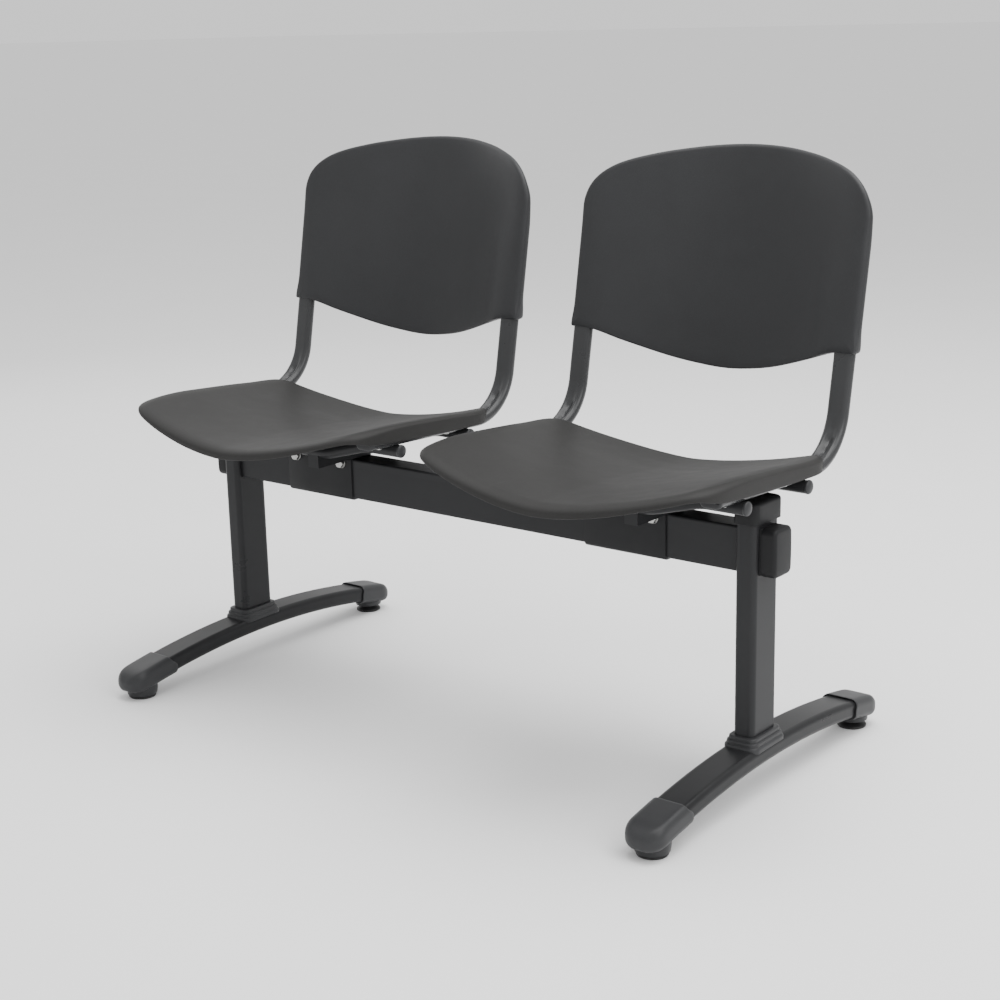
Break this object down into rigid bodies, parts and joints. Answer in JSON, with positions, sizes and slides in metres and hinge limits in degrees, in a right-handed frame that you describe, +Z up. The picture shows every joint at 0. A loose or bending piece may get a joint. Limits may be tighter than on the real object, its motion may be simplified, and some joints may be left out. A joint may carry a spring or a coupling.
{
  "type": "beam seating",
  "caption": "Dark grey beam seating with dished plastic seats and curved backrests on a steel beam with T legs and levelling glides.",
  "frame": {"origin": "on the floor, in the middle of the plan, under the centre of the beam", "axes": "+X along the beam to the sitter's left, -Y to the front, +Z up"},
  "size_m": [1.0196, 0.58, 0.8097],
  "materials": {
    "seat_plastic": "fine moulded texture",
    "back_plastic": "fine moulded texture",
    "frame_paint": "fine powder coat",
    "arm_paint": "fine powder coat",
    "cap_plastic": "satin moulded",
    "glide_plastic": "matte",
    "zinc_steel": "zinc plated"
  },
  "bodies": {
    "frame": {"back_screws": "zinc_steel", "back_shell_left": "back_plastic", "back_shell_right": "back_plastic", "beam": "frame_paint", "beam_end_cap_left": "cap_plastic", "beam_end_cap_right": "cap_plastic", "beam_sleeve_left": "frame_paint", "beam_sleeve_right": "frame_paint", "beam_thread_inserts": "zinc_steel", "column_base_plate_left": "frame_paint", "column_base_plate_right": "frame_paint", "column_cap_left": "cap_plastic", "column_cap_right": "cap_plastic", "column_collar_left": "cap_plastic", "column_collar_right": "cap_plastic", "column_left": "frame_paint", "column_right": "frame_paint", "column_screws": "zinc_steel", "foot_bolts": "zinc_steel", "foot_cap_left_front": "cap_plastic", "foot_cap_left_rear": "cap_plastic", "foot_cap_right_front": "cap_plastic", "foot_cap_right_rear": "cap_plastic", "foot_tube_left": "frame_paint", "foot_tube_right": "frame_paint", "glide_inserts": "zinc_steel", "left_seat_arm_left": "arm_paint", "left_seat_arm_plugs": "cap_plastic", "left_seat_arm_right": "arm_paint", "left_seat_bracket_left": "frame_paint", "left_seat_bracket_right": "frame_paint", "left_seat_cross_plugs": "cap_plastic", "left_seat_cross_tube_front": "frame_paint", "left_seat_cross_tube_rear": "frame_paint", "right_seat_arm_left": "arm_paint", "right_seat_arm_plugs": "cap_plastic", "right_seat_arm_right": "arm_paint", "right_seat_bracket_left": "frame_paint", "right_seat_bracket_right": "frame_paint", "right_seat_cross_plugs": "cap_plastic", "right_seat_cross_tube_front": "frame_paint", "right_seat_cross_tube_rear": "frame_paint", "seat_screws": "zinc_steel", "seat_shell_left": "seat_plastic", "seat_shell_right": "seat_plastic", "sleeve_bolts": "zinc_steel", "sleeve_nuts": "zinc_steel"},
    "glide_left_front": {"glide_pad_left_front": "glide_plastic", "glide_stud_left_front": "zinc_steel"},
    "glide_left_rear": {"glide_pad_left_rear": "glide_plastic", "glide_stud_left_rear": "zinc_steel"},
    "glide_right_front": {"glide_pad_right_front": "glide_plastic", "glide_stud_right_front": "zinc_steel"},
    "glide_right_rear": {"glide_pad_right_rear": "glide_plastic", "glide_stud_right_rear": "zinc_steel"}
  },
  "joints": [
    {"name": "screw_glide_left_front", "type": "slide", "parent": "frame", "child": "glide_left_front", "axis": [0, 0, 1], "range_m": [-0.012, 0]},
    {"name": "screw_glide_left_rear", "type": "slide", "parent": "frame", "child": "glide_left_rear", "axis": [0, 0, 1], "range_m": [-0.012, 0]},
    {"name": "screw_glide_right_front", "type": "slide", "parent": "frame", "child": "glide_right_front", "axis": [0, 0, 1], "range_m": [-0.012, 0]},
    {"name": "screw_glide_right_rear", "type": "slide", "parent": "frame", "child": "glide_right_rear", "axis": [0, 0, 1], "range_m": [-0.012, 0]}
  ]
}
